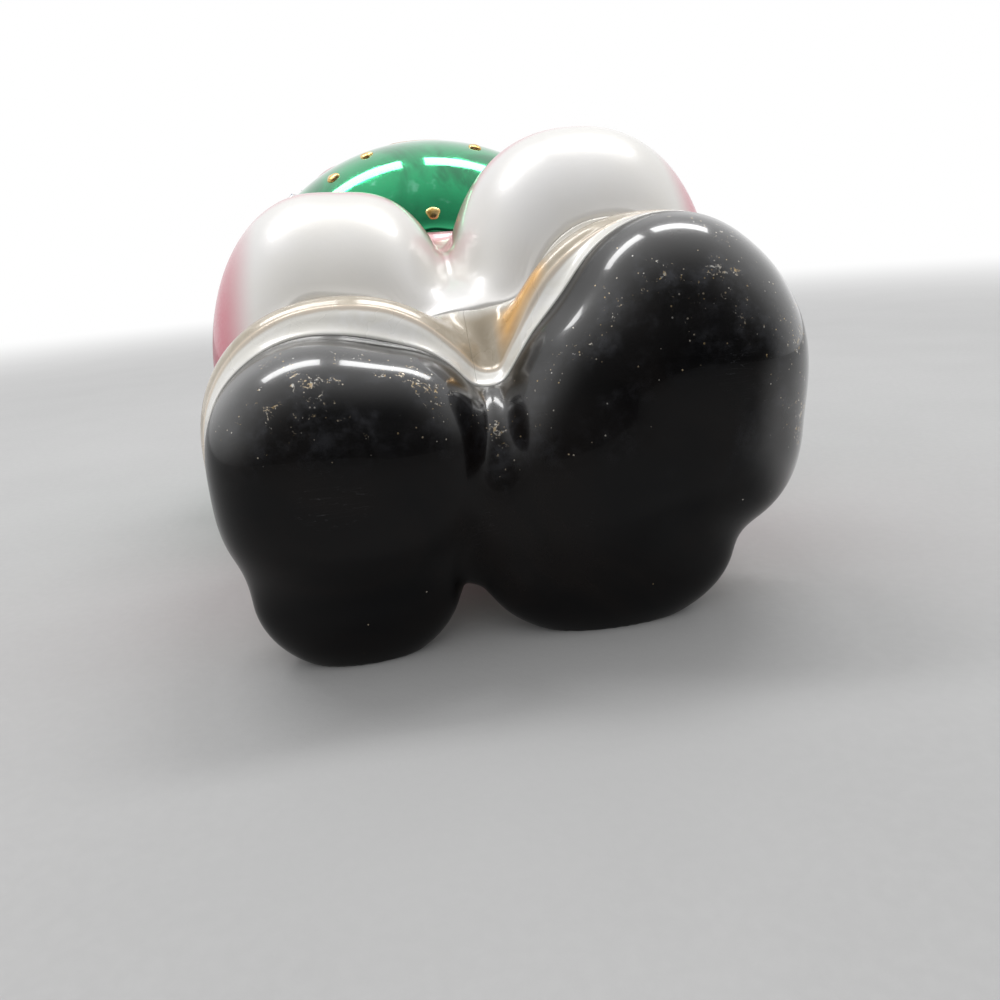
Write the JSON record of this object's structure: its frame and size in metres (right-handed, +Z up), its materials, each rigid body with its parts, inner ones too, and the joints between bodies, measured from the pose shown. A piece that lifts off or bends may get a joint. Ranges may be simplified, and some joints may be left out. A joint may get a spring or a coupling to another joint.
{
  "type": "glass santa ornament",
  "caption": "Blown glass Santa tree ornament lying on its back: lacquered, gilded and frosted figure with a stamped crown cap and a spring wire hanger.",
  "frame": {"origin": "on the table under the middle of the figure's box, the figure lying on its back", "axes": "+Y from the soles to the hanging loop, +Z up from the table, the figure's front, +X the figure's left side"},
  "size_m": [0.0694, 0.1454, 0.0536],
  "materials": {
    "blown_glass": "clear, silvered inside",
    "black_lacquer": "high gloss black lacquer with worn flecks",
    "silver_lacquer": "mirror silver with a gold edge",
    "pearl_lacquer": "pearl white airbrushed rose red towards the edges",
    "green_lacquer": "transparent emerald lacquer over silver, mirror gloss",
    "red_lacquer": "transparent red lacquer over silver, mirror gloss",
    "frosting": "white with fine glitter",
    "flesh_lacquer": "satin",
    "gilding": "bright gold",
    "cap_metal": "bright, gold tinted, stamped",
    "spring_wire": "drawn wire"
  },
  "bodies": {
    "figure": {"glass_body": "blown_glass", "boots_lacquer": "black_lacquer", "belt_lacquer": "black_lacquer", "boot_cuff_left": "silver_lacquer", "boot_cuff_right": "silver_lacquer", "trousers_lacquer": "pearl_lacquer", "coat_skirt_lacquer": "green_lacquer", "jacket_lacquer": "green_lacquer", "hat_lacquer": "red_lacquer", "mitten_left": "red_lacquer", "mitten_right": "red_lacquer", "hat_fur_band": "frosting", "pompom_frosting": "frosting", "beard_frosting": "frosting", "sleeve_fur_left": "frosting", "sleeve_fur_right": "frosting", "face_lacquer": "flesh_lacquer", "coat_dot_1": "gilding", "coat_dot_2": "gilding", "coat_dot_3": "gilding", "coat_dot_4": "gilding", "coat_dot_5": "gilding", "hair_frosting": "frosting", "buckle_gilding": "gilding"},
    "cap": {"crown_cap": "cap_metal"},
    "hanger": {"spring_hanger": "spring_wire"}
  },
  "joints": [
    {"name": "cap_lift", "type": "slide", "parent": "figure", "child": "cap", "axis": [0, 1, 0], "range_m": [0, 0.022]},
    {"name": "hanger_slide", "type": "slide", "parent": "cap", "child": "hanger", "axis": [0, 1, 0], "range_m": [0, 0.003]}
  ]
}
